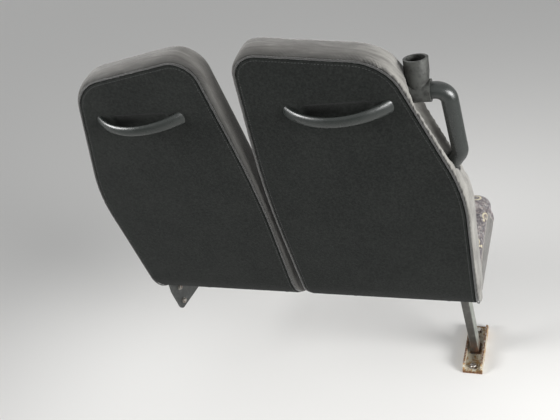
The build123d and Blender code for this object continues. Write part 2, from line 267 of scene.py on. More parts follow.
def plushMaterial():
    skin = {"roughness": 0.85, "sheenWeight": 0.45, "sheenRoughness": 0.38, "specular": 0.2}
    material, tree, shader = startMaterial("rimPlush", sheenTint=plush["sheen"], **skin)
    place, flat = objectPlace(tree), clothPlace(tree)
    along, across = parts(flat)[:2]
    tone, nap, fine = plushLook(place, flat, (20, 210, 1), (12, 40, 1))
    worn = times(painted(tree, "wear"), fade(nap, 0.36, 0.66, 0.22, 0.9))
    tone = mix(worn, tone, plush["worn"])
    # painted shade: the nap is darkened towards the felt and between the two seats, where shade falls
    away = timesPlus(noise(place, 30.0, 3, 0.6), 0.010, across)
    seamShade = times(painted(tree, "seamShade"), fade(away, 0.030, 0.002, 0.0, 0.78))
    paintedShade = larger(seamShade, times(painted(tree, "facingSeatShade"), 0.5))
    tone = mix(paintedShade, tone, plush["paintedShade"])
    # slanting puckers where the cloth is sewn to the felt
    slant = timesPlus(across, 0.9, along)
    slant = timesPlus(noise(place, 22.0, 2, 0.5), 0.014, slant)
    wave = maths("SINE", times(slant, math.tau / plush["puckerPitch"]))
    broken = patches(place, (14.0, 2, 0.5), 0.36, 0.62)
    wave = times(wave, times(fade(across, 0.018, 0.001), broken))
    pile = bump(wave, 0.0005, 0.7)
    pile = bump(nap, 0.0010, 0.7, pile)
    return wire(material, shader, tone, bump(fine, 0.0006, 0.7, pile))


moquette = {
    "ground": (0.056, 0.040, 0.052, 1),
    "groundCool": (0.044, 0.040, 0.050, 1),
    "fleck": (0.60, 0.58, 0.56, 1),
    "fleckWarm": (0.42, 0.35, 0.32, 1),
    "curl": (0.68, 0.62, 0.43, 1),
    "curlEdge": (0.50, 0.36, 0.17, 1),
    "worn": (0.40, 0.37, 0.35, 1),
    "squiggle": 88.0,
    "curlCell": 0.108,
    "curlStart": 0.085,
    "curlGrow": 0.085,
    "curlWidth": 0.024,
    "flagLength": 0.15,
    "flagSlope": 0.52,
    "flagTurn": 2.1,
}


def turnFlat(vector, angle):
    links = {"Vector": vector, "Angle": angle}
    return outOf("ShaderNodeVectorRotate", links, rotation_type="Z_AXIS")


def curlMask(place):
    # a spiral in each cell, turned at random, thicker outwards and ending in a flag
    cells = stretch(place, (1 / moquette["curlCell"],) * 3)
    ragged = noise(place, 260.0, 2, 0.6, colour=True)
    ragged = vectorMaths("MULTIPLY", vectorMaths("SUBTRACT", ragged, (0.5,) * 3), (0.06,) * 3)
    cells = vectorMaths("ADD", cells, ragged)
    links = {"Vector": cells, "Scale": 1.0, "Randomness": 0.66}
    cell = addNode("ShaderNodeTexVoronoi", links, voronoi_dimensions="2D")
    local = vectorMaths("SUBTRACT", cells, cell.outputs["Position"])
    chance = addNode("ShaderNodeSeparateColor", {0: cell.outputs["Color"]})
    turned = turnFlat(local, times(chance.outputs[0], math.tau))
    across, along = parts(turned)[:2]
    reach = vectorMaths("LENGTH", turned)
    share = timesPlus(maths("ARCTAN2", along, across), 1 / math.tau, 0.5)
    shape = None
    for inner in (0.0, 1.0):
        walked = less(share, inner)
        centre = timesPlus(walked, moquette["curlGrow"], moquette["curlStart"])
        width = timesPlus(walked, moquette["curlWidth"], moquette["curlWidth"] * 0.62)
        off = less(width, maths("ABSOLUTE", less(reach, centre)))
        shape = off if shape is None else larger(shape, off)
    flag = vectorMaths("ADD", turned, (moquette["curlStart"] + moquette["curlGrow"] - 0.01, -0.01, 0))
    across, along = parts(turnFlat(flag, moquette["flagTurn"]))[:2]
    sides = less(times(across, moquette["flagSlope"]), maths("ABSOLUTE", along))
    flag = maths("MINIMUM", sides, less(moquette["flagLength"], across))
    shape = fade(larger(shape, flag), -0.006, 0.014)
    return times(shape, maths("GREATER_THAN", chance.outputs[1], 0.1))


def moquetteMaterial(name, sidePanels=False):
    skin = {"roughness": 0.93, "sheenWeight": 0.3, "sheenRoughness": 0.45, "specular": 0.25}
    material, tree, shader = startMaterial(name, **skin)
    flat = clothPlace(tree)
    cloud = noise(flat, 26.0, 3, 0.6)
    tone = mix(fade(cloud, 0.4, 0.62), moquette["ground"], moquette["groundCool"])
    # squiggles are contours of a slanting noise, broken where a second noise is low
    slanted = stretch(stretch(flat, turn=(0, 0, 0.6)), (1, 1.5, 1))
    squiggle = noise(slanted, moquette["squiggle"], 1.2, 0.5, 0.9)
    squiggle = maths("ABSOLUTE", less(squiggle, 0.5))
    line = fade(squiggle, 0.034, 0.066, 1.0, 0.0)
    broken = patches(slanted, (78.0, 2, 0.6, 0.5), 0.43, 0.50)
    dots = patches(slanted, (170.0, 2, 0.6, 1.0), 0.61, 0.67)
    flecks = larger(times(line, broken), times(dots, 0.8))
    warmth = patches(flat, (60.0, 2, 0.5), 0.42, 0.6)
    fleckTone = mix(warmth, moquette["fleck"], moquette["fleckWarm"])
    tone = mix(times(flecks, 0.9), tone, fleckTone)
    curls = curlMask(flat)
    threads = noise(flat, 900.0, 2, 0.6, 0.6)
    curlTone = mix(fade(curls, 0.45, 0.98), moquette["curlEdge"], moquette["curl"])
    curlTone = mix(fade(threads, 0.56, 0.72, 0.0, 0.6), curlTone, moquette["curlEdge"])
    tone = mix(curls, tone, curlTone)
    rubbed = patches(flat, (210.0, 4, 0.7, 0.5), 0.40, 0.60)
    rubbed = times(rubbed, patches(flat, (11.0, 3, 0.6), 0.3, 0.62))
    tone = mix(times(painted(tree, "wear"), times(rubbed, 0.6)), tone, moquette["worn"])
    weave = noise(stretch(flat, (1, 1.5, 1)), 1300.0, 1, 0.5)
    tone = mix(fade(weave, 0.3, 0.62, 0.42, 0.0), tone, grey(0.012))
    pile = timesPlus(flecks, -0.5, noise(flat, 210.0, 3, 0.6))
    if sidePanels:
        panel = fade(painted(tree, "sidePanel"), -0.0004, 0.0004)
        plushTone, nap, _ = plushLook(objectPlace(tree), flat, (210, 20, 1), (36, 12, 1))
        tone = mix(panel, tone, plushTone)
        pile = timesPlus(panel, less(nap, pile), pile)
    pile = bump(pile, 0.0009, 0.6)
    return wire(material, shader, tone, bump(weave, 0.0006, 0.8, pile))


plastic = {
    "handle": (0.013, 0.016, 0.0145, 1),
    "rub": (0.026, 0.030, 0.028, 1),
    "black": (0.014, 0.014, 0.015, 1),
    "dust": (0.16, 0.15, 0.135, 1),
}


def plasticMaterial(name, colour, rubbed, gloss, grain, dusty=0.0, shine=0.5):
    material, tree, shader = startMaterial(name, roughness=gloss, specular=shine)
    place = objectPlace(tree)
    scuff = fade(noise(stretch(place, (1, 1, 2.4)), 75.0, 6, 0.7, 0.4), 0.5, 0.74)
    tone = mix(times(scuff, 0.5), colour, rubbed)
    if dusty:
        fall = patches(place, (55.0, 5, 0.7), 0.34, 0.7)
        fall = times(fade(worldFacing(tree)[2], 0.1, 0.95), fall)
        tone = mix(times(fall, dusty), tone, plastic["dust"])
    rough = patches(place, (34.0, 5, 0.7), 0.3, 0.75, gloss * 0.8, gloss * 1.5)
    return wire(material, shader, tone, bump(noise(place, grain, 2, 0.6), 0.00025, 0.6), rough)


steel = {
    "paint": (0.026, 0.028, 0.027, 1),
    "paintPale": (0.060, 0.062, 0.059, 1),
    "legPaint": (0.135, 0.145, 0.125, 1),
    "legPale": (0.250, 0.262, 0.232, 1),
    "rearShade": (0.024, 0.021, 0.018, 1),
    "dust": (0.17, 0.155, 0.135, 1),
    "rust": (0.105, 0.043, 0.018, 1),
    "rustDark": (0.035, 0.018, 0.011, 1),
    "bare": (0.42, 0.40, 0.37, 1),
    "footPaint": (0.46, 0.43, 0.345, 1),
    "footDust": (0.62, 0.565, 0.45, 1),
    "ochre": (0.33, 0.205, 0.090, 1),
    "cast": (0.060, 0.062, 0.057, 1),
    "castDark": (0.026, 0.026, 0.024, 1),
    "zinc": (0.42, 0.41, 0.38, 1),
}


def paintedSteel(name, paint, paintPale, rearShadow=0.0):
    material, tree, shader = startMaterial(name, roughness=0.45)
    place = objectPlace(tree)
    height = parts(place)[2]
    tone = mix(patches(place, (40.0, 5, 0.65), 0.42, 0.7), paint, paintPale)
    _, ahead, up = worldFacing(tree)
    if rearShadow:
        # painted shade: faces that look rearward are darkened, as they stand in shade
        share = patches(place, (48.0, 4, 0.6), 0.25, 0.5, 0.75, 1.0)
        share = times(fade(ahead, -0.35, -0.75), share)
        tone = mix(times(share, rearShadow), tone, steel["rearShade"])
    fall = times(fade(up, 0.2, 0.95), patches(place, (70.0, 5, 0.7), 0.3, 0.68))
    tone = mix(times(fall, 0.6), tone, steel["dust"])
    chips = patches(place, (190.0, 5, 0.75, 0.4), 0.665, 0.70)
    tone = mix(chips, tone, steel["rustDark"])
    low = patches(place, (85.0, 5, 0.7), 0.36, 0.62)
    low = times(fade(height, 0.10, 0.012), low)
    tone = mix(low, tone, steel["rust"])
    dull = timesPlus(larger(low, fall), 0.4, 0.42)
    skin = bump(noise(place, 620.0, 3, 0.6), 0.0002, 0.7)
    return wire(material, shader, tone, bump(larger(chips, low), 0.0004, 0.5, skin), dull)


def footSteel():
    # pale worn paint under dust, ochre rust in patches, dark rust and bare metal on the edges
    material, tree, shader = startMaterial("footSteel", roughness=0.6)
    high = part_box("foot_shoe")[1]
    place = objectPlace(tree)
    sideways, lengthways, height = parts(place)
    sideways, lengthways = maths("ABSOLUTE", sideways), maths("ABSOLUTE", lengthways)
    rims = fade(height, high.z - 0.008, high.z), fade(lengthways, high.y - 0.010, high.y)
    edge = larger(*rims)
    fold = fade(sideways, high.x - 0.010, high.x - 0.005, 0.0, 0.6)
    stain = noise(place, 52.0, 6, 0.7, 0.6)
    fine = noise(place, 190.0, 5, 0.7, 0.4)
    dusty = patches(place, (60.0, 4, 0.6), 0.38, 0.66)
    tone = mix(dusty, steel["footPaint"], steel["footDust"])
    patch = timesPlus(fine, 0.35, timesPlus(edge, 0.14, stain))
    tone = mix(fade(patch, 0.66, 0.74), tone, steel["ochre"])
    reach = times(less(fine, 0.5), 1.6)
    reach = maths("ADD", larger(edge, fold), reach)
    tone = mix(fade(reach, 0.70, 1.05), tone, steel["rust"])
    tone = mix(fade(reach, 1.05, 1.30), tone, steel["rustDark"])
    rub = patches(place, (150.0, 4, 0.7), 0.52, 0.62)
    rub = times(fade(height, high.z - 0.003, high.z), rub)
    tone = mix(rub, tone, steel["bare"])
    relief = bump(noise(place, 340.0, 5, 0.7), 0.0006, 0.7)
    relief = bump(fade(patch, 0.66, 0.74), 0.0005, 0.8, relief)
    return wire(material, shader, tone, relief, fade(patch, 0.6, 0.75, 0.55, 0.9))


yarn = {
    "cord": (0.20, 0.185, 0.165, 1),
    "cordPale": (0.34, 0.32, 0.29, 1),
    "stitch": (0.016, 0.017, 0.016, 1),
    "stitchPale": (0.034, 0.036, 0.034, 1),
    "edging": (0.022, 0.022, 0.021, 1),
    "edgingPale": (0.048, 0.048, 0.045, 1),
}


def threadMaterial(name, dark, pale):
    # spun yarn, its lay too fine to model
    material, tree, shader = startMaterial(name, roughness=0.8, sheenWeight=0.4, sheenRoughness=0.4)
    place = objectPlace(tree)
    fibres = noise(place, 1700.0, 2, 0.6, 1.5)
    tone = mix(fade(fibres, 0.36, 0.64), dark, pale)
    tone = mix(patches(place, (40.0, 3, 0.6), 0.45, 0.7, 0.0, 0.4), tone, dark)
    return wire(material, shader, tone, bump(fibres, 0.0004, 0.8))


def castMetal():
    material, tree, shader = startMaterial("socketMetal", roughness=0.5, metallic=0.4)
    place = objectPlace(tree)
    rearShade = patches(place, (60.0, 5, 0.7), 0.4, 0.66)
    rough = patches(place, (110.0, 4, 0.6), 0.3, 0.7, 0.38, 0.66)
    relief = bump(noise(place, 480.0, 4, 0.65), 0.0005, 0.7)
    return wire(material, shader, mix(rearShade, steel["cast"], steel["castDark"]), relief, rough)


def zincMaterial():
    material, tree, shader = startMaterial("boltZinc", roughness=0.42, metallic=0.85)
    place = objectPlace(tree)
    rust = patches(place, (210.0, 5, 0.7, 0.4), 0.46, 0.62)
    relief = bump(noise(place, 700.0, 3, 0.6), 0.0002, 0.6)
    dull = timesPlus(rust, 0.4, 0.36)
    return wire(material, shader, mix(rust, steel["zinc"], steel["rust"]), relief, dull)


makeCamera()
finishes = {
    "felt": feltMaterial(),
    "plush": plushMaterial(),
    "moquette": moquetteMaterial("padMoquette"),
    "cover": moquetteMaterial("cushionCover", True),
    "cord": threadMaterial("seamCord", yarn["cord"], yarn["cordPale"]),
    "thread": threadMaterial("stitchThread", yarn["stitch"], yarn["stitchPale"]),
    "edging": threadMaterial("edgingCord", yarn["edging"], yarn["edgingPale"]),
    "handle": plasticMaterial("handlePlastic", plastic["handle"], plastic["rub"], 0.26, 1100.0, shine=0.6),
    "pan": plasticMaterial("panPlastic", plastic["black"], grey(0.045), 0.55, 900.0, 0.7),
    "cap": plasticMaterial("capPlastic", plastic["black"], grey(0.04), 0.45, 1300.0, 0.4),
    "steel": paintedSteel("frameSteel", steel["paint"], steel["paintPale"]),
    "leg": paintedSteel("legSteel", steel["legPaint"], steel["legPale"], 0.92),
    "foot": footSteel(),
    "cast": castMetal(),
    "zinc": zincMaterial(),
}
print("materials:", len(finishes))


# Mesh helpers
def rowsOf(items, word):
    flat = np.empty(len(items) * 3, np.float32)
    items.foreach_get(word, flat)
    return flat.reshape(-1, 3).astype(float)


def coordinates(mesh):
    return rowsOf(mesh.vertices, "co")


def normals(mesh):
    return rowsOf(mesh.vertex_normals, "vector")


def setCoordinates(mesh, places):
    mesh.vertices.foreach_set("co", places.astype(np.float32).ravel())
    mesh.update()


def inBack(places):
    # across, up the recline and ahead of the rear face
    local = places - datum
    return places[:, 0], local @ upward, local @ forward


def smoothStep(ends, value):
    share = np.clip((value - ends[0]) / (ends[1] - ends[0]), 0, 1)
    return share * share * (3 - 2 * share)


def plainMesh(obj):
    # the evaluated shape as the object's own mesh, with no modifier left
    graph = bpy.context.evaluated_depsgraph_get()
    mesh = bpy.data.meshes.new_from_object(obj.evaluated_get(graph), depsgraph=graph)
    obj.modifiers.clear()
    old, obj.data = obj.data, mesh
    bpy.data.meshes.remove(old)
    mesh.name = obj.name
    return obj


def softCopy(node, name, look):
    mesh = nodes[node].data.copy()
    mesh.materials.clear()
    work = bmesh.new()
    work.from_mesh(mesh)
    bmesh.ops.remove_doubles(work, verts=work.verts, dist=1e-6)
    work.to_mesh(mesh)
    work.free()
    made = newObject(name, mesh)
    remesh = made.modifiers.new("remesh", "REMESH")
    remesh.mode, remesh.voxel_size = "VOXEL", look["voxel"]
    smooth = made.modifiers.new("relax", "SMOOTH")
    smooth.factor, smooth.iterations = 0.5, look["relax"]
    return plainMesh(made)


clothSettings = {
    "quality": 5, "mass": 0.3, "tension_stiffness": 12.0, "compression_stiffness": 12.0,
    "bending_stiffness": 0.5, "use_pressure": True, "uniform_pressure_force": 5.0,
}


def inflate(obj, look, held):
    # foam under tight cloth: swells by pressure where it is free, never past the cap
    rest = coordinates(obj.data)
    group = obj.vertex_groups.new(name="held")
    levels = 20
    for level in range(1, levels + 1):
        chosen = np.nonzero(np.round(held * levels) == level)[0]
        if len(chosen):
            group.add(chosen.tolist(), level / levels, "REPLACE")
    cloth = obj.modifiers.new("swell", "CLOTH")
    for word, value in clothSettings.items():
        setattr(cloth.settings, word, value)
    cloth.settings.effector_weights.gravity = 0
    cloth.settings.vertex_group_mass = "held"
    cloth.collision_settings.use_collision = False
    for frameNumber in range(1, look["frames"] + 1):
        scene.frame_set(frameNumber)
    plainMesh(obj)
    scene.frame_set(1)
    moved = coordinates(obj.data) - rest
    length = np.linalg.norm(moved, axis=1)
    kept = look["cap"] * np.tanh(length / look["cap"])
    share = np.where(length > 1e-9, kept / np.maximum(length, 1e-9), 0) * (1 - held)
    setCoordinates(obj.data, rest + moved * share[:, None])
    print("swelled", obj.name, "by up to", round(1000 * float((length * share).max()), 1), "mm")


def subdivide(obj):
    finer = obj.modifiers.new("finer", "SUBSURF")
    finer.levels = finer.render_levels = 1
    plainMesh(obj)


def paintAttribute(mesh, name, values):
    layer = mesh.attributes.new(name, "FLOAT", "POINT")
    layer.data.foreach_set("value", values.astype(np.float32))


def clothMap(mesh, across, along):
    # the cloth's own flat coordinates, in metres
    layer = mesh.uv_layers.new(name="cloth")
    corner = np.empty(len(mesh.loops), np.int32)
    mesh.loops.foreach_get("vertex_index", corner)
    flat = np.stack([across[corner], along[corner]], 1)
    layer.data.foreach_set("uv", flat.astype(np.float32).ravel())


def wearFinish(mesh, finish):
    mesh.materials.clear()
    mesh.materials.append(finishes[finish])


def finishPiece(obj, finish, node):
    mesh = obj.data
    wearFinish(mesh, finish)
    mesh.polygons.foreach_set("use_smooth", np.ones(len(mesh.polygons), bool))
    mesh.update()
    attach(obj, "root")
    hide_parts(node)
    return obj


def nearOutline(across, up, outline):
    # each point's distance in the back plane to a closed outline, and how far round it lies
    best = np.full(len(across), np.inf)
    along = np.zeros(len(across))
    points = np.stack([across, up], 1)
    walked = 0.0
    for start, end in zip(outline, np.roll(outline, -1, 0)):
        run = end - start
        length = np.linalg.norm(run)
        if length < 1e-7:
            continue
        share = np.clip(((points - start) @ run) / length**2, 0, 1)
        far = np.linalg.norm(points - (start + share[:, None] * run), axis=1)
        nearer = far < best
        best[nearer] = far[nearer]
        along[nearer] = walked + share[nearer] * length
        walked += length
    return best, along


backCorners = (  # side, in from that side's edge, height up the recline, corner radius
    (-1, 0.007, -0.082, 0.030),
    (-1, 0.0, 0.350, 2.400),
    (-1, 0.037, 0.719, 0.060),
    (1, 0.110, 0.673, 0.110),
    (1, 0.0, 0.348, 0.450),
    (1, 0.005, -0.082, 0.030),
)
backSize = {"width": 0.448, "aisleEdge": 0.065, "gap": 0.003}


def backMiddle(side):
    aisle = backSize["aisleEdge"] - backSize["width"] / 2
    return aisle if side > 0 else aisle - backSize["width"] - backSize["gap"]


def backOutline(side, inset=0.0, steps=14):
    # rounded outline of one back as (across, up) points
    middle, half = backMiddle(side), backSize["width"] / 2
    corners = [np.array((middle + side * hand * (half - inward), up)) for hand, inward, up, _ in backCorners]
    points = []
    for index, corner in enumerate(corners):
        before, after, radius = corners[index - 1], corners[(index + 1) % len(corners)], backCorners[index][3]
        one = (before - corner) / np.linalg.norm(before - corner)
        two = (after - corner) / np.linalg.norm(after - corner)
        bend = math.acos(float(np.clip(one @ two, -1, 1))) / 2
        reach = radius / math.tan(bend)
        centre = corner + (one + two) / np.linalg.norm(one + two) * radius / math.sin(bend)
        start, end = corner + one * reach - centre, corner + two * reach - centre
        angle = math.acos(float(np.clip(start @ end / radius**2, -1, 1)))
        for step in range(steps + 1):
            share = step / steps
            arc = start * math.sin((1 - share) * angle) + end * math.sin(share * angle)
            points.append(centre + arc / math.sin(angle))
    points = np.array(points)
    if inset:
        around = np.roll(points, -1, 0) - np.roll(points, 1, 0)
        outward = np.stack([around[:, 1], -around[:, 0]], 1) / np.linalg.norm(around, axis=1)[:, None]
        outward *= np.sign(np.sum(outward * (points - points.mean(0)), axis=1).sum())
        points = points - outward * inset
    return points


# pairs are the two ends of a smooth step, in metres where they measure a place
backPanel = {
    "voxel": 0.0034, "relax": 3, "inset": 0.010, "crown": 0.0035, "crownReach": (0, 0.15),
    "rearFace": (0.0115, 0.008), "aboveToe": (-0.05, 0.10),
}
recess = {
    "halfLength": 0.078, "halfHeight": 0.019, "up": 0.573, "depth": 0.0055,
    "shift": {1: 0.001, -1: 0.013}, "topWall": 0.012, "lowWall": 0.018, "margin": 0.012,
    "shadeLeft": (0.045, -0.050), "shadeDepth": (0.05, 0.9), "shadeHeight": (0.024, -0.012),
    "shadeLeast": 0.12,
}


def makeBackPanel(name, side):
    made = softCopy("back_shell_" + name, "felt_panel_" + name, backPanel)
    places = coordinates(made.data)
    across, up, ahead = inBack(places)
    inside, _ = nearOutline(across, up, backOutline(side, backPanel["inset"]))
    rearward = normals(made.data) @ forward < 0.2
    rear = rearward * smoothStep(backPanel["rearFace"], ahead) * smoothStep(backPanel["aboveToe"], up)
    crown = backPanel["crown"] * smoothStep(backPanel["crownReach"], inside) * rear
    # the felt is pressed into the recess, steeply at its upper edge
    sideways = across - backMiddle(side) - recess["shift"][side]
    height = up - recess["up"]
    beyond = np.maximum(np.abs(sideways) - recess["halfLength"] + recess["halfHeight"], 0)
    within = recess["halfHeight"] - np.hypot(beyond, height)
    upper = smoothStep((0, recess["topWall"]), height)
    wall = recess["lowWall"] + (recess["topWall"] - recess["lowWall"]) * upper
    pressed = recess["depth"] * smoothStep((0, 1), within / wall)
    outer = rearward & (within > -recess["margin"])
    move = np.where(outer, pressed - np.clip(ahead, 0, None), 0) - crown
    setCoordinates(made.data, places + move[:, None] * forward)
    # painted shade in the recess just above the bar, most towards its left end
    least = recess["shadeLeast"]
    paintedShade = least + (1 - least) * smoothStep(recess["shadeLeft"], sideways)
    paintedShade *= smoothStep(recess["shadeDepth"], pressed / recess["depth"])
    paintedShade *= smoothStep(recess["shadeHeight"], height)
    paintAttribute(made.data, "recessShade", paintedShade * (ahead < 0.03))
    return finishPiece(made, "felt", "back_shell_" + name)


rim = {
    "voxel": 0.0042, "relax": 4, "crown": 0.0038, "pressed": 0.78, "front": 0.064,
    "sag": 0.0006, "sagScale": 21.0, "sagWaves": (1, 2.3, 4.1),
    "rearSeam": (0.004, 0.026), "frontSeam": (0.070, 0.046), "gusset": (0.030, 0.008),
    "toe": (-0.02, 0.04), "towardsNeighbour": (0.25, 0.75), "fitting": (0.004, 0.024),
    "crestFront": (0.040, 0.058), "crestEdge": (0.030, 0.010), "crestHeight": (0.45, 0.66),
    "aisleFacing": (0.20, 0.65), "facingSeatShade": (0.30, 0.80), "facingSeatShadeHeight": (0.70, 0.55),
    "wear": 0.8, "aisleSidePale": 0.85, "aisleUnshaded": 0.95,
}


def makeRim(name, side):
    # foam under plush: the gusset bulges between its two seams, and a little unevenly
    node = "back_rim_" + name
    made = softCopy(node, "plush_rim_" + name, rim)
    places = coordinates(made.data)
    across, up, ahead = inBack(places)
    inside, along = nearOutline(across, up, backOutline(side))
    facing = normals(made.data)
    outward = facing - (facing @ forward)[:, None] * forward
    loose = smoothStep(rim["rearSeam"], ahead) * smoothStep(rim["frontSeam"], ahead)
    loose *= smoothStep(rim["gusset"], inside) * smoothStep(rim["toe"], up)
    # the two backs stand close together and must not meet there
    inward = -side * facing[:, 0]
    loose *= 1 - rim["pressed"] * smoothStep(rim["towardsNeighbour"], inward)
    if side > 0:
        for fitting in ("handle_flange", "handle_boss", "pole_socket", "corner_handle"):
            low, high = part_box(fitting)
            outside = np.maximum(np.array(low) - places, places - np.array(high)).clip(0)
            loose *= smoothStep(rim["fitting"], np.linalg.norm(outside, axis=1))
    waves = [np.sin(along * rim["sagScale"] * wave + wave * 1.7 + side) / wave for wave in rim["sagWaves"]]
    swell = loose * (rim["crown"] + rim["sag"] * sum(waves))
    setCoordinates(made.data, places + outward * swell[:, None])
    # worn pale on the crest; the side facing the aisle is made paler too
    crest = smoothStep(rim["crestFront"], ahead) * smoothStep(rim["crestEdge"], inside)
    crest *= smoothStep(rim["crestHeight"], up)
    aisleFacing = smoothStep(rim["aisleFacing"], facing[:, 0]) * (side > 0)
    paintAttribute(made.data, "wear", np.maximum(crest * rim["wear"], aisleFacing * rim["aisleSidePale"]))
    # painted shade along the felt seam, left off the side facing the aisle
    paintAttribute(made.data, "seamShade", 1 - rim["aisleUnshaded"] * aisleFacing)
    # painted shade on the sides that face the other seat
    facingSeatShade = smoothStep(rim["facingSeatShade"], inward) * smoothStep(rim["facingSeatShadeHeight"], up)
    paintAttribute(made.data, "facingSeatShade", facingSeatShade)
    clothMap(made.data, along, ahead + np.where(ahead > rim["front"] / 2, inside, -inside))
    finishPiece(made, "plush", node)


pad = {
    "voxel": 0.006, "relax": 2, "cap": 0.008, "frames": 16,
    "inset": 0.024, "patternShift": 0.31, "drape": 0.6,
    "sewn": (0.008, 0.003), "tucked": (0.05, 0.03), "worn": (0.014, 0.003), "wear": 0.9,
}


def makePad(name, side):
    node = "back_pad_" + name
    made = softCopy(node, "moquette_pad_" + name, pad)
    _, up, ahead = inBack(coordinates(made.data))
    held = smoothStep(pad["sewn"], ahead - ahead.min())
    held = np.maximum(held, smoothStep(pad["tucked"], up))
    inflate(made, pad, held)
    subdivide(made)
    across, up, ahead = inBack(coordinates(made.data))
    inside, _ = nearOutline(across, up, backOutline(side, pad["inset"]))
    paintAttribute(made.data, "wear", smoothStep(pad["worn"], inside) * pad["wear"])
    drop = (ahead.max() - ahead) * pad["drape"]
    clothMap(made.data, across + np.sign(across - backMiddle(side)) * drop + side * pad["patternShift"], up)
    return finishPiece(made, "moquette", node)


cushionPad = {
    "voxel": 0.006, "relax": 2, "cap": 0.009, "frames": 18,
    "seamDrop": 0.024, "seamFront": 0.062, "seamRound": 0.030, "groove": 0.0016, "grooveWidth": 0.005,
    "sewn": (0.030, 0.012), "tucked": (0.085, 0.070), "side": (0.35, 0.8), "front": (0.2, 0.8),
    "bend": (0.55, 0.85), "level": (0.93, 0.995), "wornFrom": (0.08, 0.2),
}


def panelDepth(high, places):
    # how far inside the side panel's seam a point is, seen from the side
    soft = cushionPad["seamRound"]
    right = places[:, 1] - (high.y - cushionPad["seamFront"] - soft)
    above = places[:, 2] - (high.z - cushionPad["seamDrop"] - soft)
    corner = np.hypot(right.clip(0), above.clip(0)) + np.minimum(np.maximum(right, above), 0)
    return soft - corner


def makeCushion(name):
    node = "cushion_" + name
    made = softCopy(node, "moquette_cushion_" + name, cushionPad)
    low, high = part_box(node)
    places = coordinates(made.data)
    held = smoothStep(cushionPad["sewn"], places[:, 2] - low.z)
    held = np.maximum(held, smoothStep(cushionPad["tucked"], inBack(places)[2]))
    inflate(made, cushionPad, held)
    subdivide(made)
    places = coordinates(made.data)
    facing = normals(made.data)
    # the seam round each side panel draws the cover in
    depth = panelDepth(high, places)
    sideways = np.abs(facing[:, 0])
    pull = cushionPad["groove"] * np.exp(-(depth / cushionPad["grooveWidth"]) ** 2)
    places = places - facing * (pull * smoothStep(cushionPad["side"], sideways))[:, None]
    setCoordinates(made.data, places)
    drop = places[:, 2].max() - places[:, 2]
    wear = smoothStep(cushionPad["bend"], facing[:, 2])
    wear *= 1 - smoothStep(cushionPad["level"], facing[:, 2])
    wear *= smoothStep(cushionPad["wornFrom"], places[:, 1] - low.y)
    paintAttribute(made.data, "wear", wear)
    paintAttribute(made.data, "sidePanel", np.where(sideways > 0.3, depth, -1.0))
    frontward = drop * smoothStep(cushionPad["front"], facing[:, 1])
    clothMap(made.data, places[:, 0] + np.sign(facing[:, 0]) * drop * sideways, places[:, 1] + frontward)
    return finishPiece(made, "cover", node)


# Trees that repeat a small shape, each with its sizes as inputs
def geometryTree(name, **inputs):
    kinds = {float: "Float", tuple: "Vector"}
    tree = bpy.data.node_groups.new(name, "GeometryNodeTree")
    for way in ("INPUT", "OUTPUT"):
        tree.interface.new_socket("Geometry", in_out=way, socket_type="NodeSocketGeometry")
    for label, value in inputs.items():
        kind = "NodeSocket" + kinds[type(value)]
        tree.interface.new_socket(label, in_out="INPUT", socket_type=kind).default_value = value
    for label, kind in (("Seed", "NodeSocketInt"), ("Cover", "NodeSocketMaterial")):
        tree.interface.new_socket(label, in_out="INPUT", socket_type=kind)
    return tree, addNode("NodeGroupInput", {}, tree).outputs


def shaped(kind, links, tree=None, **settings):
    return outOf("GeometryNode" + kind, links, tree, **settings)


def closeTree(tree, shape, material, smooth=True):
    shape = shaped("RealizeInstances", {0: shape})
    shape = shaped("SetShadeSmooth", {0: shape, "Shade Smooth": smooth})
    shape = shaped("SetMaterial", {0: shape, "Material": material})
    addNode("NodeGroupOutput", {0: shape})
    return tree


def randomValue(low, high, seed):
    return addNode("FunctionNodeRandomValue", {2: low, 3: high, 8: seed}, data_type="FLOAT").outputs[1]


def about(spread, seed):
    # a factor near one
    return randomValue(less(1.0, spread), maths("ADD", 1.0, spread), seed)


def turnFurther(rotation, further):
    links = {0: rotation, 1: further}
    return outOf("FunctionNodeRotateRotation", links, rotation_space="LOCAL")


def placeAt(points, shape, turn, size=(1, 1, 1)):
    links = {"Points": points, "Instance": shape, "Rotation": turn, "Scale": size}
    return shaped("InstanceOnPoints", links)


def spacedCurve(host, pitch):
    curve = shaped("MeshToCurve", {0: host})
    links = {"Curve": curve, "Length": pitch}
    return shaped("ResampleCurve", links, mode="LENGTH")


def cordTree():
    tree, given = geometryTree("sewnCord", Radius=0.0015, Pitch=0.003, Uneven=0.1)
    curve = spacedCurve(given["Geometry"], given["Pitch"])
    links = {"Resolution": 8, "Radius": given["Radius"]}
    ring = shaped("CurvePrimitiveCircle", links)
    scale = about(given["Uneven"], given["Seed"])
    links = {"Curve": curve, "Profile Curve": ring, "Scale": scale, "Fill Caps": True}
    return closeTree(tree, shaped("CurveToMesh", links), given["Cover"])


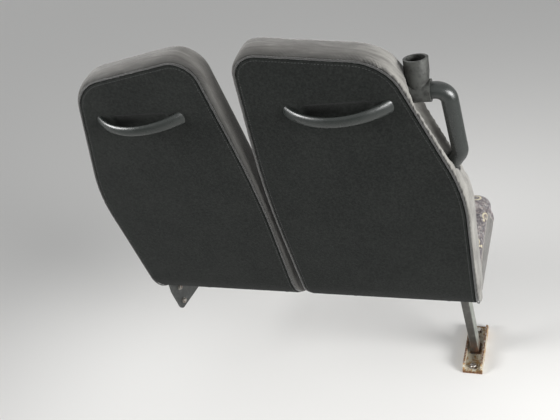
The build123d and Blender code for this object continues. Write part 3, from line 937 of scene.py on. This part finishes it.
def beadTree():
    # beads along a line, as stitches with gaps or as the overlapping ripples of a weld
    tree, given = geometryTree("beadRow", Pitch=0.006, Length=0.004, Width=0.001, Height=0.001, Wander=0.1)
    curve = spacedCurve(given["Geometry"], given["Pitch"])
    points = addNode("GeometryNodeCurveToPoints", {"Curve": curve}, mode="EVALUATED")
    bead = shaped("MeshUVSphere", {"Segments": 8, "Rings": 6, "Radius": 0.5}, tree)
    links = {0: given["Width"], 1: given["Height"], 2: given["Length"]}
    size = outOf("ShaderNodeCombineXYZ", links)
    some = about(given["Wander"], given["Seed"])
    size = outOf("ShaderNodeVectorMath", {0: size, "Scale": some}, operation="SCALE")
    links = {0: (-1, -1, -1), 1: (1, 1, 1), 8: given["Seed"]}
    tilt = outOf("FunctionNodeRandomValue", links, data_type="FLOAT_VECTOR")
    tilt = vectorMaths("MULTIPLY", tilt, given["Wander"])
    tilt = outOf("FunctionNodeEulerToRotation", {0: tilt})
    turn = turnFurther(points.outputs["Rotation"], tilt)
    row = placeAt(points.outputs["Points"], bead, turn, size)
    return closeTree(tree, row, given["Cover"])


hexBolt = {"sides": 6, "washerSides": 28, "block": 0.8, "chamfer": 0.2, "top": 0.86}


def boltTree():
    # hexagon head with a chamfered top on a washer, standing along Axis at each point
    sizes = {"Flats": 0.017, "Head": 0.0064, "Washer": 0.0105, "Thick": 0.002, "Axis": (0.0, 0.0, 1.0)}
    tree, given = geometryTree("hexBolt", **sizes)
    points = shaped("MeshToPoints", {0: given["Geometry"]})
    thick = given["Thick"]
    radius = maths("DIVIDE", given["Flats"], math.sqrt(3))
    block, chamfer = [times(given["Head"], hexBolt[word]) for word in ("block", "chamfer")]
    washer = {"Vertices": hexBolt["washerSides"], "Radius": given["Washer"], "Depth": thick}
    body = {"Vertices": hexBolt["sides"], "Radius": radius, "Depth": block}
    crown = {"Vertices": hexBolt["sides"], "Radius Bottom": radius, "Depth": chamfer}
    crown["Radius Top"] = times(radius, hexBolt["top"])
    joined = addNode("GeometryNodeJoinGeometry", {}, tree)
    for kind, links, rise in (
        ("Cylinder", washer, times(thick, 0.5)),
        ("Cylinder", body, timesPlus(block, 0.5, thick)),
        ("Cone", crown, maths("ADD", thick, block)),
    ):
        shape = shaped("Mesh" + kind, links)
        lift = outOf("ShaderNodeCombineXYZ", {2: rise})
        moved = shaped("Transform", {"Geometry": shape, "Translation": lift})
        tree.links.new(moved, joined.inputs[0])
    angle = randomValue(0.0, math.tau, given["Seed"])
    spin = outOf("FunctionNodeAxisAngleToRotation", {"Axis": (0, 0, 1), "Angle": angle})
    stand = outOf("FunctionNodeAlignRotationToVector", {"Vector": given["Axis"]}, axis="Z")
    bolt = placeAt(points, joined.outputs[0], turnFurther(stand, spin))
    return closeTree(tree, bolt, given["Cover"], False)


trees = {"cord": cordTree(), "beads": beadTree(), "bolts": boltTree()}


def lineMesh(name, lines, points=False):
    # open or closed lines, or loose points, that a tree works along
    places, edges = [], []
    for line, closed in lines:
        first = len(places)
        places += [tuple(place) for place in line]
        if not points:
            edges += [(first + step, first + step + 1) for step in range(len(line) - 1)]
            if closed:
                edges.append((len(places) - 1, first))
    mesh = bpy.data.meshes.new(name)
    mesh.from_pydata(places, edges, [])
    return mesh


def grow(name, tree, lines, slot, finish, points=False, **values):
    values["Cover"] = finishes[finish]
    made = newObject(name, lineMesh(name, lines, points))
    modifier = made.modifiers.new("grow", "NODES")
    modifier.node_group = trees[tree]
    for item in trees[tree].interface.items_tree:
        if item.in_out == "INPUT" and item.name in values:
            modifier[item.identifier] = values[item.name]
    plainMesh(made)
    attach(made, "root")
    print(name, "grown,", len(made.data.polygons), "faces")


def surfaceOf(obj):
    faces = [tuple(polygon.vertices) for polygon in obj.data.polygons]
    return BVHTree.FromPolygons([tuple(place) for place in coordinates(obj.data)], faces)


def met(surface, starts, direction, sink):
    # where each ray first meets the surface, pressed in a little
    found = []
    for start in starts:
        place, normal, _, _ = surface.ray_cast(Vector(start), Vector(direction), 0.5)
        if place is not None:
            found.append(np.array(place - normal * sink))
    return found


def fromBack(across, up, ahead):
    return np.array((across, 0, 0)) + datum + up * upward + ahead * forward


def openOutline(side, border, inset="inset"):
    # up one side of the back, over the top and down the other, none of it below the lowest height
    points = backOutline(side, border[inset], 24)
    steps = []
    for start, end in zip(points, np.roll(points, -1, 0)):
        count = max(1, int(np.linalg.norm(end - start) / seamStep))
        steps += [start + (end - start) * share / count for share in range(count)]
    steps = np.array(steps)
    kept = steps[:, 1] > border["lowest"]
    first = int(np.nonzero(kept & ~np.roll(kept, 1))[0][0])
    steps, kept = np.roll(steps, -first, 0), np.roll(kept, -first)
    return steps[: int(kept.sum())]


def raised(outline, ahead):
    return [fromBack(across, up, ahead) for across, up in outline]


feltBorder = {
    "inset": 0.0077, "look": 0.0135, "cord": 0.0017, "rise": 0.0008, "uneven": 0.16,
    "stitches": 0.0165, "lowest": -0.055,
}
padBorder = {"inset": 0.0228, "ahead": 0.0652, "cord": 0.0017, "stitches": 0.0335, "lowest": 0.034}
farBehind, farAhead, seamStep = -0.1, 0.2, 0.004
cushionSeam = {"cord": 0.0018, "sink": 0.0007, "stitchOff": 0.0062}
stitch = {"Pitch": 0.0062, "Length": 0.0042, "Width": 0.0011, "Height": 0.0007, "Wander": 0.12}
stitchSink = 0.0001


def feltSeams(name, side):
    surface = surfaceOf(pieces["panel", name])
    line = []
    for edge, look in zip(openOutline(side, feltBorder), openOutline(side, feltBorder, "look")):
        hits = met(surface, raised([look], farBehind), forward, 0.0)
        if hits:
            line += raised([edge], float((hits[0] - datum) @ forward) + feltBorder["rise"])
    sizes = {"Radius": feltBorder["cord"], "Uneven": feltBorder["uneven"], "Seed": 3}
    grow("felt_edge_cord_" + name, "cord", [(line, False)], "back_felt", "edging", **sizes)
    starts = raised(openOutline(side, feltBorder, "stitches"), farBehind)
    line = met(surface, starts, forward, stitchSink)
    grow("felt_stitches_" + name, "beads", [(line, False)], "back_felt", "thread", Seed=5, **stitch)


def padSeams(name, side):
    surface = surfaceOf(pieces["pad", name])
    line = raised(openOutline(side, padBorder), padBorder["ahead"])
    grow("pad_cord_" + name, "cord", [(line, False)], "rim_plush", "cord", Radius=padBorder["cord"], Seed=7)
    starts = raised(openOutline(side, padBorder, "stitches"), farAhead)
    line = met(surface, starts, -forward, stitchSink)
    grow("pad_stitches_" + name, "beads", [(line, False)], "pad_cloth", "cord", Seed=9, **stitch)


def cushionSeams(name):
    surface = surfaceOf(pieces["cushion", name])
    low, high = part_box("cushion_" + name)
    # each row turns round the same point near the front corner
    front = high.y - cushionPad["seamFront"] - cushionPad["seamRound"]
    top = high.z - cushionPad["seamDrop"] - cushionPad["seamRound"]
    cords, rows = [], []
    for hand in (1, -1):
        x = (low.x + high.x) / 2 + hand * ((high.x - low.x) / 2 + 0.05)
        for lines, out, sink in (
            (cords, 0.0, cushionSeam["sink"]),
            (rows, cushionSeam["stitchOff"], stitchSink),
        ):
            soft = cushionPad["seamRound"] + out
            path = [(y, top + soft) for y in np.arange(low.y + 0.01, front, seamStep)]
            for turn in np.linspace(0, math.pi / 2, 14):
                path.append((front + soft * math.sin(turn), top + soft * math.cos(turn)))
            path += [(front + soft, z) for z in np.arange(top - seamStep, low.z + 0.004, -seamStep)]
            lines.append((met(surface, [(x, y, z) for y, z in path], (-hand, 0, 0), sink), False))
    grow("cushion_cords_" + name, "cord", cords, "cushion_cloth", "cord", Radius=cushionSeam["cord"], Seed=11)
    grow("cushion_stitches_" + name, "beads", rows, "cushion_cloth", "cord", Seed=13, **stitch)


pieces = {}
for name, side in (("aisle", 1), ("window", -1)):
    pieces["panel", name] = makeBackPanel(name, side)
    makeRim(name, side)
    pieces["pad", name] = makePad(name, side)
    pieces["cushion", name] = makeCushion(name)
    feltSeams(name, side)
    padSeams(name, side)
    cushionSeams(name)
    print("upholstery done on the", name, "side")

cadFinish = {
    "handle": ["bow_handle_aisle", "bow_handle_window", "corner_handle", "handle_flange"],
    "pan": ["seat_pan_aisle", "seat_pan_window"],
    "cap": ["tube_caps", "handle_boss"],
    "steel": [
        "bracket_outer_aisle", "bracket_inner_aisle", "bracket_outer_window", "bracket_inner_window",
        "rear_tube", "front_tube", "leg_beam", "wall_bracket",
    ],
    "leg": ["leg_strut", "leg_gusset"],
    "foot": ["foot_shoe"],
    "cast": ["pole_socket"],
}
for word, members in cadFinish.items():
    for node in members:
        wearFinish(nodes[node].data, word)

frameWelds = {"Pitch": 0.0024, "Length": 0.0050, "Width": 0.0062, "Height": 0.0048, "Wander": 0.16}
weldPlace = {
    "strutHalfDepth": 0.0215, "proud": 0.0004, "gussetReach": 0.034, "gussetRise": 0.072,
    "plate": 0.006, "plateFace": 0.0062, "socketRadius": 0.0224, "beamHalf": 0.0053, "tubeRadius": 0.0166,
}
bolts = {
    "floor": {"Flats": 0.017, "Head": 0.0064, "Washer": 0.0105},
    "wall": {"Flats": 0.013, "Head": 0.0053, "Washer": 0.0085},
}


def ringLine(x, y, z, radius):
    turns = np.linspace(0, math.tau, 48, endpoint=False)
    return [(x, y + radius * math.cos(turn), z + radius * math.sin(turn)) for turn in turns], True


def makeFrameDetails():
    # welds where the leg, gusset, beam and sockets meet, then the bolts of both mounts
    strutLow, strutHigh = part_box("leg_strut")
    gussetLow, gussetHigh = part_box("leg_gusset")
    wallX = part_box("wall_bracket")[0].x
    half, proud, rise = weldPlace["strutHalfDepth"], weldPlace["proud"], weldPlace["gussetRise"]
    lean = (strutHigh.y - strutLow.y - 2 * half) / (strutHigh.z - strutLow.z)
    lines = []
    wide, deep = strutHigh.x + proud, half + proud
    for z, y in ((strutLow.z, 0.0), (strutHigh.z, strutLow.y + half)):
        corners = ((-1, -1), (1, -1), (1, 1), (-1, 1))
        lines.append(([(a * wide, y + b * deep, z) for a, b in corners], True))
    foot, ground = gussetHigh.y - weldPlace["gussetReach"], gussetLow.z
    for x in (gussetLow.x - proud, gussetHigh.x + proud):
        path = ((gussetHigh.y, ground), (foot, ground), (foot - lean * rise, ground + rise))
        lines.append(([(x, y, z) for y, z in path], False))
    for tube in ("rear_tube", "front_tube"):
        low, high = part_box(tube)
        y, z = (low.y + high.y) / 2, (low.z + high.z) / 2
        lines.append(ringLine(wallX + weldPlace["plateFace"], y, z, weldPlace["socketRadius"]))
        for hand in (-1, 1):
            lines.append(ringLine(hand * weldPlace["beamHalf"], y, z, weldPlace["tubeRadius"]))
    grow("frame_welds", "beads", lines, "frame_steel", "steel", Seed=17, **frameWelds)
    floor, wall = mounts["floor_mount"], mounts["wall_mount"]
    reach = floor["dims"]["spacing_y_mm"] / 2000
    places = [(0, -reach, strutLow.z), (0, reach, strutLow.z)]
    grow("floor_bolts", "bolts", [(places, False)], "foot_steel", "zinc", True, Seed=19, **bolts["floor"])
    _, y, z = wall["pos_m"]
    across, rise = wall["dims"]["spacing_x_mm"] / 2000, wall["dims"]["spacing_y_mm"] / 2000
    places = [(wallX + weldPlace["plate"], y + a * across, z + b * rise) for a in (-1, 1) for b in (-1, 1)]
    sizes = {"Axis": (1.0, 0.0, 0.0), "Seed": 23, **bolts["wall"]}
    grow("wall_bolts", "bolts", [(places, False)], "frame_steel", "zinc", True, **sizes)


makeFrameDetails()

stage = {
    "size": 90.0,
    "floor": (0.80, 0.79, 0.77, 1),
    "haze": (0.93, 0.93, 0.925, 1),
    "hazeStrength": 0.9,
    "soft": (0.97, 0.985, 1.0, 1),
    "softStrength": 0.45,
}


def makeStage():
    mesh = bpy.data.meshes.new("floor")
    half = stage["size"] / 2
    corners = ((-1, -1), (1, -1), (1, 1), (-1, 1))
    mesh.from_pydata([(half * x, half * y, 0) for x, y in corners], [], [(0, 1, 2, 3)])
    floor = newObject("floor", mesh)
    mesh.materials.append(startMaterial("floorPale", roughness=0.9, baseColor=stage["floor"])[0])
    world = bpy.data.worlds.new("studio")
    world.use_nodes = True
    tree = world.node_tree
    tree.nodes.clear()
    rays = addNode("ShaderNodeLightPath", {}, tree)
    seen = larger(rays.outputs["Is Camera Ray"], rays.outputs["Is Glossy Ray"])
    seen = larger(seen, rays.outputs["Is Transmission Ray"])
    soft = outOf("ShaderNodeBackground", {0: stage["soft"], 1: stage["softStrength"]}, tree)
    shown = outOf("ShaderNodeBackground", {0: stage["haze"], 1: stage["hazeStrength"]}, tree)
    both = outOf("ShaderNodeMixShader", {0: seen, 1: soft, 2: shown})
    addNode("ShaderNodeOutputWorld", {0: both})
    scene.world = world


lamps = (  # name, place, aim, width, height, power, spread in degrees
    ("leftLamp", (-2.3, -1.35, 1.6), (-0.4, -0.45, 0.95), 1.4, 1.2, 17, 80),
    ("rightLamp", (2.35, -1.3, 1.25), (-0.1, -0.35, 0.75), 1.7, 1.1, 28, 80),
    ("topLamp", (-0.2, 1.0, 3.1), (-0.4, -0.1, 0.6), 2.2, 2.2, 5, 180),
)


def makeLamps():
    for name, place, aim, width, height, power, spread in lamps:
        data = bpy.data.lights.new(name, "AREA")
        data.shape, data.size, data.size_y = "RECTANGLE", width, height
        data.energy, data.spread = power, math.radians(spread)
        aimAt(newObject(name, data), place, aim)


makeStage()
makeLamps()
scene.view_settings.view_transform = "Standard"
